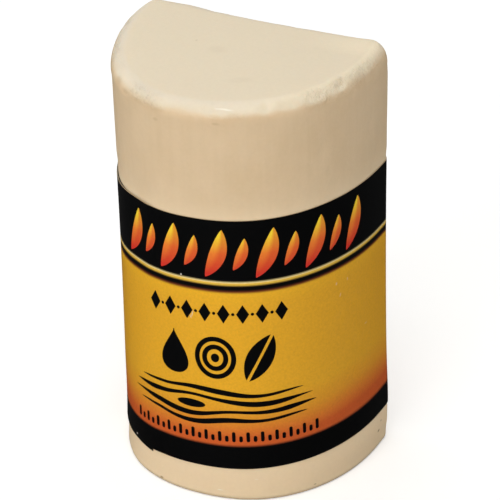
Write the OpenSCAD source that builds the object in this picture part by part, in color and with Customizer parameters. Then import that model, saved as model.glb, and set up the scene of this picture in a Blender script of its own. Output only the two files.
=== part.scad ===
// Furniture repair wax stick: a cast block of wax with one printed label stuck round it.
// Lengths are in millimetres. +Z is up, the flat back faces +Y, the round front faces -Y,
// and the origin is the middle of the foot.

/* [Wax stick] */
// Width of the stick, measured along its flat back
stick_w = 25.4; // [20:0.1:32]
// Depth of the stick, from the flat back to the front
stick_d = 17.8; // [14:0.1:24]
// Height of the rim at the back
stick_h = 43; // [38:0.1:70]
// Length of the straight stretch between the round front and a back corner
side_l = 1; // [0.5:0.1:3]
// Radius of the two upright corners at the back
back_r = 1.8; // [1:0.1:3]
// Squareness of the round front, where 2 is an ellipse
front_power = 2.2; // [2:0.05:2.6]

/* [Foot and top] */
// Radius of the edge round the foot
foot_r = 0.3; // [0.1:0.05:0.8]
// Radius of the soft rim round the top
rim_r = 1.7; // [0.8:0.1:2.4]
// How far the top is dished, most at its middle and at the middle of the back
dish_depth = 0.3; // [0.1:0.1:1.5]
// How much lower the top is at the front than at the back
front_fall = 1.6; // [0:0.1:3]
// How much higher the top is at the right than at the left, along the front
front_tilt = 1.1; // [-2:0.1:2]
// How much higher the top is at the right than at the left, along the back
back_tilt = -0.3; // [-2:0.1:2]

/* [Label] */
// Width of the label strip, which is its height on the stick
label_h = 26.7; // [15:0.1:29]
// Height of the strip's lower edge at the middle of the stick
label_z = 3.5; // [2:0.1:5]
// How much higher the strip sits at the right side than at the left side
label_rise = 1.3; // [0:0.1:2]
// Thickness of the printed film
film_t = 0.06; // [0.04:0.01:0.3]
// Thickness of the adhesive coat
adhesive_t = 0.02; // [0.01:0.01:0.1]
// How far to the left of the middle of the front the strip starts
start_x = 5; // [2:0.5:8]
// Length of the end that laps over the start
lap_l = 12; // [8:0.5:20]
// Length over which the strip climbs onto its own start
climb_l = 1.2; // [0.6:0.1:2]
// How far the start of the strip lies askew, over the length of the lap
start_skew = 1.5; // [0:0.1:2]

/* [Hidden] */

// Number of flats round the front, a back corner and the back
front_steps = 48;
corner_steps = 5;
back_steps = 8;
// Number of rings in the foot's edge, in the rim and across the dish
foot_steps = 3;
rim_steps = 6;
dish_steps = 5;
// Share of a back corner's radius that stays when the outline is drawn in
corner_share = 0.1;
// How far a cut runs past what it cuts
cut_over = 1;
// Where the stick is widest, which is where the round front ends, and the front's depth
wide_y = stick_d / 2 - back_r - side_l;
front_d = wide_y + stick_d / 2;
// Thickness of one layer of the label
layer_t = adhesive_t + film_t;
// Share of the start's skew that lies below the strip's own line
low_share = 0.22;

wax_colour = [0.87, 0.79, 0.66];
film_colour = [0.88, 0.65, 0.15];
adhesive_colour = [0.85, 0.84, 0.78];

// The outline of the stick, drawn in by inset or, where inset is negative, grown.
// It starts at the left side and goes round the front, the right side and the back.
function signed_power(v, p) = sign(v) * pow(abs(v), p);
function outline(inset = 0) =
    let (
        half_w = stick_w / 2 - inset,
        half_d = stick_d / 2 - inset,
        corner_r = max(back_r - inset, back_r * corner_share),
        corner_x = half_w - corner_r,
        corner_y = half_d - corner_r
    )
    concat(
        [for (i = [0 : front_steps])
            let (a = 180 + 180 * i / front_steps)
            [half_w * signed_power(cos(a), 2 / front_power),
             wide_y + (front_d - inset) * signed_power(sin(a), 2 / front_power)]],
        [for (i = [0 : corner_steps])
            let (a = 90 * i / corner_steps)
            [corner_x + corner_r * cos(a), corner_y + corner_r * sin(a)]],
        [for (i = [1 : back_steps - 1]) [corner_x * (1 - 2 * i / back_steps), half_d]],
        [for (i = [0 : corner_steps])
            let (a = 90 + 90 * i / corner_steps)
            [-corner_x + corner_r * cos(a), corner_y + corner_r * sin(a)]]
    );

// Height of the top over a point: it falls ever faster towards the front, is tilted
// to the right along the front and the back, and is dished inside the rim.
function top_z(p) =
    let (
        fore = 0.5 - p.y / stick_d,
        tilt = fore * front_tilt + (1 - fore) * back_tilt,
        across = p.x / (stick_w / 2 - rim_r),
        deep = (p.y - wide_y) / (front_d - rim_r)
    )
    stick_h + tilt * p.x / stick_w - front_fall * fore * fore
    - dish_depth * max(1 - across * across - deep * deep, 0);

// Rings of points from below the foot to the middle of the top, each with one point for
// each point of the outline.
function buried_ring() = [for (p = outline(foot_r)) [p.x, p.y, -cut_over]];
function foot_ring(i) =
    let (a = 90 * i / foot_steps)
    [for (p = outline(foot_r * (1 - sin(a)))) [p.x, p.y, foot_r * (1 - cos(a))]];
function rim_ring(i) =
    let (
        a = 90 * i / rim_steps,
        drawn = outline(rim_r * (1 - cos(a))),
        crest = outline(rim_r)
    )
    [for (k = [0 : len(crest) - 1])
        [drawn[k].x, drawn[k].y, top_z(crest[k]) - rim_r * (1 - sin(a))]];
function dish_ring(i) =
    [for (crest = outline(rim_r))
        let (p = crest * (1 - i / dish_steps))
        [p.x, p.y, top_z(p)]];

// A closed solid through the rings, capped at the first ring and by a point over the last.
module loft(rings, tip) {
    n = len(rings[0]);
    last = len(rings) - 1;
    points = concat([for (ring = rings) each ring], [tip]);
    walls = [for (r = [0 : last - 1], k = [0 : n - 1])
        let (j = (k + 1) % n)
        each [
            [r * n + k, (r + 1) * n + k, (r + 1) * n + j],
            [r * n + k, (r + 1) * n + j, r * n + j]
        ]];
    bottom = [[for (k = [0 : n - 1]) k]];
    top = [for (k = [0 : n - 1]) [last * n + k, (last + 1) * n, last * n + (k + 1) % n]];
    polyhedron(points, concat(walls, bottom, top), convexity = 4);
}

module wax_stick() {
    color(wax_colour)
        difference() {
            loft(
                concat(
                    [buried_ring()],
                    [for (i = [0 : foot_steps]) foot_ring(i)],
                    [for (i = [0 : rim_steps]) rim_ring(i)],
                    [for (i = [1 : dish_steps - 1]) dish_ring(i)]
                ),
                [0, 0, top_z([0, 0])]
            );
            // The flat foot
            translate([-stick_w / 2, -stick_d / 2, -2 * cut_over])
                cube([stick_w, stick_d, 2 * cut_over]);
        }
}

// The label strip runs clockwise: from its start over the left side, the back, the right
// side and the front, and then laps over its start. A place on it is u, counted in points
// of the outline and falling along the strip, and g, the height above the wax.
wax_line = outline(0);
grown_line = outline(-layer_t);
turn = len(wax_line);
function wrapped(i) = ((i % turn) + turn) % turn;
function along(line, u) =
    let (i = floor(u), f = u - i)
    line[wrapped(i)] * (1 - f) + line[wrapped(i + 1)] * f;
function on_wall(u, g) = along(wax_line, u) * (1 - g / layer_t) + along(grown_line, u) * g / layer_t;

// The place a length further along the strip, and the length between two places.
function further(u, length) =
    let (i = ceil(u) - 1, step = norm(along(wax_line, u) - along(wax_line, i)))
    step >= length ? u - (u - i) * length / step : further(i, length - step);
function stretch(from, to) =
    let (i = ceil(from) - 1)
    i <= to ? norm(along(wax_line, from) - along(wax_line, to))
            : norm(along(wax_line, from) - along(wax_line, i)) + stretch(i, to);

start_u = front_steps * acos(pow(2 * start_x / stick_w, front_power / 2)) / 180;
full_u = start_u - turn;
climb_u = further(start_u, stretch(start_u, full_u) - climb_l);
end_u = further(full_u, lap_l);
function places(from, to) = [from, for (i = [ceil(from) - 1 : -1 : floor(to) + 1]) i];
strip = concat(places(start_u, climb_u), places(climb_u, full_u), places(full_u, end_u), [end_u]);

// Height above the wax of the layer's inner side: it climbs onto the start.
function lift(u) =
    u >= climb_u ? 0 : u <= full_u ? layer_t : layer_t * (climb_u - u) / (climb_u - full_u);

// Height of the strip's lower edge: the strip rises to the right, and its start is askew.
function skew(l) = start_skew * (l < lap_l ? l / lap_l - low_share
    : (1 - low_share) * max(2 - l / lap_l, 0));
function edge_z(u) =
    let (l = u > full_u ? stretch(start_u, u) : 0)
    label_z + label_rise * along(wax_line, u).x / stick_w + (u > full_u ? skew(l) : 0);

// One layer of the strip, from g_in to g_out above what it lies on.
module strip_layer(g_in, g_out) {
    corners = [for (u = strip)
        let (
            low = edge_z(u),
            inner = on_wall(u, lift(u) + g_in),
            outer = on_wall(u, lift(u) + g_out)
        )
        each [
            [inner.x, inner.y, low],
            [outer.x, outer.y, low],
            [outer.x, outer.y, low + label_h],
            [inner.x, inner.y, low + label_h]
        ]];
    last = len(strip) - 1;
    sides = [for (c = [0 : last - 1], k = [0 : 3])
        let (j = (k + 1) % 4)
        each [
            [c * 4 + k, c * 4 + j, c * 4 + 4 + j],
            [c * 4 + k, c * 4 + 4 + j, c * 4 + 4 + k]
        ]];
    ends = [[0, 3, 2, 1], [for (k = [0 : 3]) last * 4 + k]];
    polyhedron(corners, concat(sides, ends), convexity = 6);
}

module label_adhesive() {
    color(adhesive_colour) strip_layer(0, adhesive_t);
}

module label_film() {
    color(film_colour) strip_layer(adhesive_t, layer_t);
}

wax_stick();
label_adhesive();
label_film();
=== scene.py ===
"""Looks of the furniture repair wax stick: its cast wax, its wrap-around label and the label's print.

The file is laid out as an add-on and is run as a script. Lengths are in metres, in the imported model's
frame: +Z is up, the flat back faces +Y and the round front faces -Y.
"""

import math

import bpy
import numpy as np
from bpy.props import FloatProperty, FloatVectorProperty, IntProperty, PointerProperty
from bpy.types import Operator, Panel, PropertyGroup
from mathutils import Matrix, Vector


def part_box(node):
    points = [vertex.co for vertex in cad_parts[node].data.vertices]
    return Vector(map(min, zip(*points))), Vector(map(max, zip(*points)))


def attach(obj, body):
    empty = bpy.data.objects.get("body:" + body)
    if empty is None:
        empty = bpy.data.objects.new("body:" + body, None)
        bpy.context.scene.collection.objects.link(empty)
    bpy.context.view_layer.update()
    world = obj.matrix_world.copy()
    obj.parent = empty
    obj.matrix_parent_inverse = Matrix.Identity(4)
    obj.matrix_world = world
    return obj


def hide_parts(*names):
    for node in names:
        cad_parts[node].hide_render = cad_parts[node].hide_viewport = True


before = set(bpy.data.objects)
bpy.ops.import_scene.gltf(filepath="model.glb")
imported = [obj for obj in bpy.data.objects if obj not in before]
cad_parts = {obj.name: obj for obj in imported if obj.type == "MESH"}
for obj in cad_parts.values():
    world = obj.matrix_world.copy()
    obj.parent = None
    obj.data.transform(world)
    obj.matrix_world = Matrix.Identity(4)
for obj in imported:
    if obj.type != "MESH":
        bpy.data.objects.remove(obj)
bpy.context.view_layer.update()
wax_low, wax_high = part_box("wax_stick")

bl_info = {
    "name": "Furniture repair wax stick",
    "version": (1, 0, 0),
    "blender": (4, 5, 0),
    "location": "View3D > Sidebar > Wax stick",
    "description": "Builds a cast stick of repair wax with a printed wrap-around label",
    "category": "Mesh",
}

MM = 0.001


def srgb(red, green, blue):
    """Turns display values from 0 to 255 into the linear values that the nodes use."""
    share = np.array([red, green, blue]) / 255.0
    linear = np.where(share <= 0.04045, share / 12.92, ((share + 0.055) / 1.055) ** 2.4)
    return tuple(float(v) for v in linear)


def length(name, description, default):
    """A property that holds a length."""
    return FloatProperty(name=name, description=description, default=default, unit="LENGTH", precision=5)


def number(name, description, default):
    """A property that holds a plain number."""
    return FloatProperty(name=name, description=description, default=default, precision=4)


def angle(name, description, degrees):
    """A property that holds an angle."""
    radians = math.radians(degrees)
    return FloatProperty(name=name, description=description, default=radians, unit="ROTATION", precision=4)


def colour(name, description, rgb):
    """A property that holds a linear colour."""
    return FloatVectorProperty(name=name, description=description, default=rgb, subtype="COLOR", size=3)


class WaxShape(PropertyGroup):
    """Sizes of the cast block of wax"""

    width: length("Width", "Width along the flat back", wax_high.x - wax_low.x)
    depth: length("Depth", "From the flat back to the front", wax_high.y - wax_low.y)
    height: length("Height", "Height of the rim at the back", 43 * MM)
    side: length("Side", "Straight stretch between the front and a back corner", 1 * MM)
    back_radius: length("Back corners", "Radius of the two upright corners", 1.8 * MM)
    front_power: number("Front power", "Squareness of the round front, where 2 is an ellipse", 2.2)
    foot_radius: length("Foot edge", "Radius of the edge round the foot", 0.3 * MM)
    rim_radius: length("Rim", "Radius of the soft rim round the top", 1.7 * MM)
    dish: length("Dish", "How far the top is dished", 0.3 * MM)
    front_fall: length("Fall to the front", "How much lower the top is at the front", 1.6 * MM)
    front_tilt: length("Front tilt", "How much the top rises to the right along the front", 1.1 * MM)
    back_tilt: length("Back tilt", "How much the top rises to the right along the back", -0.3 * MM)
    waist_left: length("Waist, left", "How far the left side draws in at half height", 0.29 * MM)
    waist_right: length("Waist, right", "How far the right side draws in at half height", 0.26 * MM)
    bare_from: length("Bare end", "Height from which the wax is free of the label's squeeze", 31 * MM)
    bare_reach: length("Reach of the bare end", "Height over which the waist eases", 1.5 * MM)
    bare_share: number("Bare share", "Share of the waist that is eased in the bare end", 0.38)
    sag: length("Sag", "How much lower the top is along the right of the rim, where it is worn", 0.5 * MM)
    worn_share: number("Worn rim", "How much taller the rim's roll is where it is worn, at the right", 0.12)
    wear: length("Wear", "How far the upper wall is worn in at the right", 0.12 * MM)
    wear_reach: length("Reach of the wear", "How far below the crest the wall is worn", 3.4 * MM)
    wear_span: length("Span of the wear", "Height over which the wear grows to its full depth", 2.2 * MM)
    foot_wear: length("Worn foot", "How far the edge of the foot is worn in at the right", 0.18 * MM)
    foot_reach: length("Reach of the worn foot", "Height over which the worn foot fades", 1.5 * MM)
    crest_shift: length("Crest shift", "How much nearer to the edge the crest lies at the right", 0.1 * MM)
    soft_share: number("Soft corner", "How much taller the rim's roll is at the left back corner", 0.4)
    crisp_share: number("Crisp rim", "How much lower the rim's roll is along the left of the back", 0.45)
    lean_top: length("Lean, top", "How far the front left is drawn in towards the top", 0.3 * MM)
    lean_top_at: length("Place of the top lean", "Place on the outline where it is drawn in most", 15.6 * MM)
    lean_foot: length("Lean, foot", "How far the front left stands out at the foot", 0.06 * MM)
    lean_foot_at: length("Place of the foot lean", "Place on the outline where it stands out most", 14.2 * MM)
    lean_reach: length("Reach of the lean", "Half the length over which it fades along the outline", 2.7 * MM)
    sway: length("Sway", "How far the stick bows to the right behind the label's lower edge", 0.085 * MM)
    sway_at: length("Sway height", "Height at which the stick bows most", 5 * MM)
    sway_reach: length("Sway reach", "Half the height over which the bow fades", 3.5 * MM)
    unevenness: length("Unevenness", "Depth of the slow waves that casting leaves", 0.035 * MM)
    dent_depth: length("Dents", "Depth of the deepest small dent", 0.12 * MM)
    dent_count: IntProperty(name="Number of dents", description="Small dents in the bare wax", default=160)


class LabelShape(PropertyGroup):
    """Sizes of the label strip and how it lies"""

    height: length("Height", "Width of the strip, which is its height on the stick", 26.7 * MM)
    place: length("Place", "Height of the lower edge at the middle of the stick", 3.5 * MM)
    rise: length("Rise", "How much higher the strip sits at the right side", 1.3 * MM)
    bow: length("Bow", "How much lower the strip sits in the middle of the front", 0.13 * MM)
    bow_at: length("Place of the bow", "Place along the outline where it sits lowest", 28 * MM)
    bow_reach: length("Reach of the bow", "Half the length over which the bow fades", 7 * MM)
    film: length("Film", "Thickness of the printed film", 0.06 * MM)
    adhesive: length("Adhesive", "Thickness of the adhesive coat", 0.02 * MM)
    start: length("Start", "How far left of the middle of the front the strip starts", 5 * MM)
    lap: length("Lap", "Length of the end that laps over the start", 12 * MM)
    climb: length("Climb", "Length over which the strip climbs onto its start", 1.2 * MM)
    skew: length("Skew", "How far the start lies askew over the length of the lap", 1.05 * MM)
    low_share: number("Low share", "Share of the skew that lies below the strip's own line", 0.35)
    slant: length("Slant", "How far the start's lower end lies beyond its upper one", 0.33 * MM)
    ink: length("Ink", "Thickness of the printed motifs", 0.012 * MM)


class PrintPlaces(PropertyGroup):
    """Heights of the print above the strip's lower edge, and places along the front"""

    low_band: length("Lower band", "Upper edge of the lower black band", 2.56 * MM)
    stripe: length("Stripe", "Lower edge of the thin dark stripe", 19.35 * MM)
    pin_line: length("Pin line", "Lower edge of the pale pin line", 19.94 * MM)
    high_band: length("Upper band", "Lower edge of the upper black band", 20.32 * MM)
    fade: length("Fade", "Softness of the printed edges", 0.12 * MM)
    # Painted shade on the field: it is painted darker towards both sides, and is least at one place along the
    # front
    least_shade_at: length("Bright print", "Place along the front where the field is printed brightest", 24.5 * MM)
    painted_shade_reach: length("Reach of the bright print", "Length over which the field grows deeper", 7 * MM)
    painted_shade_share: number("Depth of the deep print", "How much darker the field is at both sides", 0.115)
    glow_from: length("Glow start", "Distance from the bright print where the red starts to rise", 10 * MM)
    glow_full: length("Glow end", "Distance from the bright print where the red is highest", 15 * MM)
    glow_tall: length("Glow height", "Height over which the red reaches higher at the sides", 2.7 * MM)
    glow_share: number("Glow share", "How far the red is stretched at the sides", 0.42)
    leaf_low: length("Leaves", "Foot of the row of leaves", 20.75 * MM)
    leaf_tall: length("Leaf height", "Height of the tallest leaf", 5.0 * MM)
    leaves_from: length("Leaves start", "Place of the first leaf along the front", 14.8 * MM)
    leaves_to: length("Leaves end", "Place of the last leaf along the front", 39.0 * MM)
    bead_middle: length("Beads", "Middle of the row of small diamonds", 16.9 * MM)
    bead_tall: length("Bead height", "Height of a diamond", 2.0 * MM)
    sign_middle: length("Signs", "Middle of the row of bold signs", 12.1 * MM)
    sign_tall: length("Sign height", "Height of a bold sign", 4.9 * MM)
    signs_from: length("Signs start", "Left end of the rows of beads and signs", 17.9 * MM)
    signs_to: length("Signs end", "Right end of the rows of beads and signs", 30.8 * MM)
    grain_middle: length("Grain", "Middle of the wood grain", 6.75 * MM)
    grain_tall: length("Grain height", "Height of the wood grain", 3.5 * MM)
    grain_from: length("Grain start", "Left end of the wood grain", 14.4 * MM)
    grain_to: length("Grain end", "Right end of the wood grain", 34.2 * MM)
    tick_low: length("Ticks", "Foot of the row of ticks", 3.0 * MM)
    tick_tall: length("Tick height", "Height of a long tick", 1.1 * MM)


class Inks(PropertyGroup):
    """Colours of the print"""

    black: colour("Black", "Bands and motifs", srgb(4, 4, 5))
    yellow: colour("Yellow", "The field", srgb(234, 171, 26))
    bright: colour("Bright yellow", "The field just below the stripe", srgb(239, 178, 25))
    amber: colour("Amber", "The field where it turns to orange", srgb(230, 155, 28))
    orange: colour("Orange", "The lower part of the field", srgb(221, 118, 31))
    red: colour("Red", "The field just above the lower band", srgb(208, 90, 27))
    rust: colour("Rust", "The soft lower edge of the dark stripe", srgb(120, 52, 16))
    cream: colour("Cream", "Upper part of the pin line", srgb(247, 222, 150))
    gold: colour("Gold", "Lower part of the pin line", srgb(236, 188, 62))
    leaf_top: colour("Leaf tips", "Top of a leaf", srgb(250, 214, 40))
    leaf_middle: colour("Leaf middles", "Middle of a leaf", srgb(240, 128, 36))
    leaf_foot: colour("Leaf feet", "Foot of a leaf", srgb(214, 44, 26))
    core: colour("Film core", "The cut edge and the back of the film", srgb(178, 158, 126))
    glue: colour("Adhesive", "The adhesive coat", srgb(168, 152, 122))
    dust: colour("Dust", "Specks and scratches on the film", srgb(226, 222, 214))


class WaxLook(PropertyGroup):
    """Colours and finish of the wax"""

    cream: colour("Cream", "The wax where it is lighter", srgb(224, 198, 162))
    tan: colour("Tan", "The wax where it is deeper", srgb(217, 190, 152))
    # Painted light: a painted highlight along the label's upper edge and painted bounce light at the foot
    pale: colour("Pale", "The clean wax beside the label and at the foot", srgb(241, 215, 177))
    # Painted sheen: the wax that faces up is painted whiter
    painted_sheen: colour("Bloom", "The whiter wax of the open cast top", srgb(230, 215, 187))
    # Painted highlight: the crest of the rim is painted lighter, most at the right
    crest: colour("Crest", "The rubbed crest of the rim", srgb(228, 215, 192))
    rubbed: colour("Rubbed crest", "The lighter, most rubbed crest at the right", srgb(238, 223, 194))
    # Darker tone: real smudges, painted shade along the foot's edge, and the darker pits and crumb hollows
    smudge_and_shade: colour("Pits", "Dirt in the pits and along the foot's edge", srgb(150, 118, 80))
    # Painted glints on the crest, and pale scratches by the foot
    glint_and_scratch: colour("Scuffs", "Wax that a rub has whitened", srgb(252, 246, 232))
    painted_light_reach: length("Reach of the pale wax", "Height over which the pale wax by the label fades", 1.1 * MM)
    roughness: number("Roughness", "Roughness of the satin surface", 0.42)
    depth: length("Glow depth", "How far light spreads in the wax", 1.6 * MM)
    glow: number("Glow", "Share of the light that spreads in the wax", 0.25)


class Studio(PropertyGroup):
    """Camera, lights and floor"""

    azimuth: angle("Azimuth", "Direction of the view, round from the front", 26.25)
    elevation: angle("Elevation", "How far the camera looks down", 29.364)
    roll: angle("Roll", "Turn of the camera about its own line of sight", 1.381)
    distance: length("Distance", "From the camera to the point that it looks at", 270 * MM)
    focal: number("Focal length", "In millimetres on a 36 mm sensor", 205.79)
    aim_right: length("Aim right", "Aim point, to the right in the view", 1.601 * MM)
    aim_up: length("Aim up", "Height of the aim point", 22.154 * MM)
    low: number("Low lamp", "Power of the low lamp in front, in watts", 0.65)
    high: number("High lamp", "Power of the high lamp at the front right, in watts", 0.52)
    top: number("Top lamp", "Power of the lamp overhead, in watts", 0.745)
    left: number("Left lamp", "Power of the lamp at the left, in watts", 0.24)
    back: number("Back lamp", "Power of the lamp behind, in watts", 0.2)
    right: number("Right lamp", "Power of the weak lamp behind the right side, in watts", 0.12)
    room: number("Room light", "Strength of the light from all round", 0.364)
    backdrop: number("Backdrop", "Strength of the pale backdrop that the camera sees", 0.92)
    floor: colour("Floor", "The pale floor", srgb(240, 240, 238))


class WaxStickSettings(PropertyGroup):
    """Everything that can be set"""

    wax: PointerProperty(type=WaxShape)
    label: PointerProperty(type=LabelShape)
    places: PointerProperty(type=PrintPlaces)
    inks: PointerProperty(type=Inks)
    look: PointerProperty(type=WaxLook)
    studio: PointerProperty(type=Studio)


# The shape of the stick

# Number of points round the front, round a back corner and on a straight stretch
FRONT_POINTS = 1600
CORNER_POINTS = 60
STRAIGHT_POINTS = 40
# Share of a back corner's radius that stays when the outline is drawn in
CORNER_SHARE = 0.1
# Middle and reach of the lean towards the top, and reach of the one at the foot, as shares of the height
LEAN_TOP = 0.64
LEAN_TOP_REACH = 0.16
LEAN_FOOT_REACH = 0.2
# Where the top's sag starts and the run over which it grows, as shares of the width from left to right
SAG_RIGHT = (0.15, 0.27)
# Where the sag ends towards the back and over what run, as shares of the depth
SAG_BACK = (0.25, 0.2)
# Number of plane waves in the slow waves, the least and the largest pitch, and how much they are stretched
WAVES = 14
WAVE_PITCH = (0.6, 1.8)
WAVE_GAIN = 2.2
# Angle from which an edge is shaded sharp
SHARP_ANGLE = math.radians(50)


def signed_power(value, power):
    """The power of a value's size, with the value's own sign."""
    return np.sign(value) * np.abs(value) ** power


def smooth_step(value, start, run):
    """A smooth rise from 0 to 1 as a value goes on from a start over a run: 3t^2 - 2t^3."""
    t = np.clip((value - start) / run, 0, 1)
    return t * t * (3 - 2 * t)


def bell(value, middle, reach):
    """A bell that is 1 at its middle: exp(-((value - middle) / reach)^2)."""
    return np.exp(-(((value - middle) / reach) ** 2))


def stretch(count, *columns):
    """Rows of weights for one stretch of the outline, from numbers and arrays."""
    return np.stack([np.broadcast_to(np.asarray(c, float), count) for c in columns], axis=1)


class Outline:
    """The stick's outline from above, by arc length from its left side round the front.

    The front is a superellipse, the sides and the back are straight, and the back corners are arcs. A row
    of weights a to f gives one point, with x = a*half_w + b*corner and
    y = c*wide_y + d*front_d + e*half_d + f*corner, so each point can have its own inset.
    """

    def __init__(self, wax):
        self.wax = wax
        self.wide_y = wax.depth / 2 - wax.back_radius - wax.side
        self.front_d = self.wide_y + wax.depth / 2
        front = np.radians(np.linspace(180, 360, FRONT_POINTS))
        power = 2 / wax.front_power
        corner = np.radians(np.linspace(0, 90, CORNER_POINTS))
        t = np.linspace(0, 1, STRAIGHT_POINTS)
        across = signed_power(np.cos(front), power)
        forward = signed_power(np.sin(front), power)
        rows = [
            stretch(FRONT_POINTS, across, 0, 1, forward, 0, 0),
            stretch(STRAIGHT_POINTS, 1, 0, 1 - t, 0, t, -t),
            stretch(CORNER_POINTS, 1, np.cos(corner) - 1, 0, 0, 1, np.sin(corner) - 1),
            stretch(STRAIGHT_POINTS, 1 - 2 * t, 2 * t - 1, 0, 0, 1, 0),
            stretch(CORNER_POINTS, -1, 1 - np.sin(corner), 0, 0, 1, np.cos(corner) - 1),
            stretch(STRAIGHT_POINTS, -1, 0, t, 0, 1 - t, t - 1),
        ]
        self.rows = np.concatenate(rows)
        x, y = self.points(self.rows, 0.0)
        self.arc = np.concatenate([[0.0], np.cumsum(np.hypot(np.diff(x), np.diff(y)))])
        self.length = self.arc[-1]
        self.front_x = x[:FRONT_POINTS]

    def points(self, rows, inset):
        """x and y of the points that the rows of weights stand for, drawn in by the inset."""
        wax = self.wax
        half_w = wax.width / 2 - inset
        half_d = wax.depth / 2 - inset
        corner = np.maximum(wax.back_radius - inset, wax.back_radius * CORNER_SHARE)
        x = rows[..., 0] * half_w + rows[..., 1] * corner
        y = rows[..., 2] * self.wide_y + rows[..., 3] * (self.front_d - inset)
        return x, y + rows[..., 4] * half_d + rows[..., 5] * corner

    def at(self, arc, inset):
        """x and y at places along the outline, drawn in by the inset."""
        along = np.mod(arc, self.length)
        rows = np.stack([np.interp(along, self.arc, column) for column in self.rows.T], axis=-1)
        return self.points(rows, inset)

    def front_arc(self, x):
        """The place along the front where it crosses x."""
        return float(np.interp(x, self.front_x, self.arc[:FRONT_POINTS]))

    def near(self, arc, middle, reach):
        """A bell along the outline round a place."""
        off = np.mod(arc - middle + self.length / 2, self.length) - self.length / 2
        return bell(off, 0.0, reach)

    def waist(self, arc, z):
        """How far the wall is drawn in: 4u(1 - u) over its height, blended from left to right, plus the lean.

        In the bare end above the label a share of the waist is eased.
        """
        wax = self.wax
        u = np.clip(z / wax.height, 0, 1)
        side = (self.at(arc, 0.0)[0] / (wax.width / 2) + 1) / 2
        eased = 1 - wax.bare_share * smooth_step(z, wax.bare_from, wax.bare_reach)
        drawn = 4 * u * (1 - u) * eased * (wax.waist_left * (1 - side) + wax.waist_right * side)
        return drawn + self.lean(arc, z)

    def lean(self, arc, z):
        """How far the front left leans in and the right of the foot is worn in.

        The lean is a bell over the height times a bell round the outline, less such a pair at the foot,
        where the wax stands out. The foot's wear is the worn share times a bell that fades upwards.
        """
        wax = self.wax
        up = z / wax.height
        top = wax.lean_top * bell(up, LEAN_TOP, LEAN_TOP_REACH)
        top = top * self.near(arc, wax.lean_top_at, wax.lean_reach)
        foot = wax.lean_foot * bell(up, 0.0, LEAN_FOOT_REACH)
        foot = foot * self.near(arc, wax.lean_foot_at, wax.lean_reach)
        worn = worn_share(wax, self.at(arc, 0.0)[0]) * bell(z, 0.0, wax.foot_reach)
        return top - foot + wax.foot_wear * worn

    def wall(self, arc, z, out):
        """Points on the wall at a place and a height, moved out by the third value."""
        x, y = self.at(arc, self.waist(arc, z) - out)
        return np.stack(np.broadcast_arrays(x, y, z), axis=-1)


def top_height(outline, x, y):
    """Height of the top over a point.

    It falls ever faster to the front, is tilted, sags by two smooth steps where the right of the rim is
    worn, and is dished inside the rim by dish * (1 - across^2 - deep^2).
    """
    wax = outline.wax
    across = x / (wax.width / 2 - wax.rim_radius)
    deep = (y - outline.wide_y) / (outline.front_d - wax.rim_radius)
    fore = 0.5 - y / wax.depth
    tilt = fore * wax.front_tilt + (1 - fore) * wax.back_tilt
    slope = tilt * x / wax.width - wax.front_fall * fore**2
    sag = wax.sag * smooth_step(x / wax.width, *SAG_RIGHT) * (1 - smooth_step(y / wax.depth, *SAG_BACK))
    return wax.height + slope - sag - wax.dish * np.maximum(1 - across**2 - deep**2, 0)


def slow_waves(points, size, seed):
    """A smooth value from 0 to 1 at each point: the mean of plane waves in random directions."""
    rng = np.random.default_rng(seed)
    ways = rng.normal(size=(WAVES, 3))
    pitch = rng.uniform(*WAVE_PITCH, (WAVES, 1)) * 2 * np.pi / size
    ways *= pitch / np.linalg.norm(ways, axis=1, keepdims=True)
    phases = rng.uniform(0, 2 * np.pi, WAVES)
    waves = np.sin(np.einsum("...k,jk->...j", points, ways) + phases)
    return 0.5 + 0.5 * np.clip(waves.mean(axis=-1) * WAVE_GAIN, -1, 1)


def grid_quads(rows, columns):
    """Quads of a grid whose columns close on themselves, facing out where columns run anticlockwise."""
    r = np.arange(rows - 1)[:, None] * columns
    c = np.arange(columns)[None]
    n = (c + 1) % columns
    return np.stack([r + c, r + n, r + columns + n, r + columns + c], axis=-1).reshape(-1, 4)


def swayed(points, wax):
    """Points moved right by a bell over their height, where the stick bows."""
    share = bell(points[..., 2], wax.sway_at, wax.sway_reach)
    return points + wax.sway * share[..., None] * np.array([1, 0, 0])


def new_piece(name, points, faces, materials, replaces=None):
    """A mesh object from points and faces, shaded smooth, that rides on the stick's one body."""
    mesh = bpy.data.meshes.new(name)
    points = swayed(points.reshape(-1, 3), bpy.context.scene.wax_stick.wax)
    mesh.from_pydata(points.tolist(), [], faces)
    mesh.polygons.foreach_set("use_smooth", np.ones(len(mesh.polygons), bool))
    mesh.set_sharp_from_angle(angle=SHARP_ANGLE)
    for material in materials:
        mesh.materials.append(material)
    piece = bpy.data.objects.new(name, mesh)
    bpy.context.scene.collection.objects.link(piece)
    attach(piece, "root")
    if replaces:
        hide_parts(replaces)
    return piece


# Number of points round the stick and of rings in the foot, its edge, the wall, the rim and the dish
WAX_COLUMNS = 380
FOOT_DISC_RINGS = 10
FOOT_EDGE_RINGS = 5
WALL_RINGS = 105
RIM_RINGS = 18
DISH_RINGS = 44


# Where the wear starts and the run over which it grows, as shares of the width from left to right
WORN_RIGHT = (0.2, 0.25)
# Middle and reach of the soft left back corner, across and deep, and of the crisp stretch beside it
SOFT_ACROSS = (-0.43, 0.06)
SOFT_DEEP = (0.4, 0.08)
CRISP_ACROSS = (-0.3, 0.13)


def worn_share(wax, x):
    """Share of the wear, which grows to the right."""
    return smooth_step(x / wax.width, *WORN_RIGHT)


def roll_height(wax, x, y):
    """Height of the rim's roll over a crest point.

    It is taller by a share where the rim is worn and by a bell at the soft corner, and lower by a bell
    along the crisp stretch.
    """
    corner = bell(x / wax.width, *SOFT_ACROSS) * bell(y / wax.depth, *SOFT_DEEP)
    beside = bell(x / wax.width, *CRISP_ACROSS) * smooth_step(y, 0.0, wax.depth / 4)
    worn = wax.worn_share * worn_share(wax, x)
    return wax.rim_radius * (1 + worn + wax.soft_share * corner - wax.crisp_share * beside)


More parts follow.
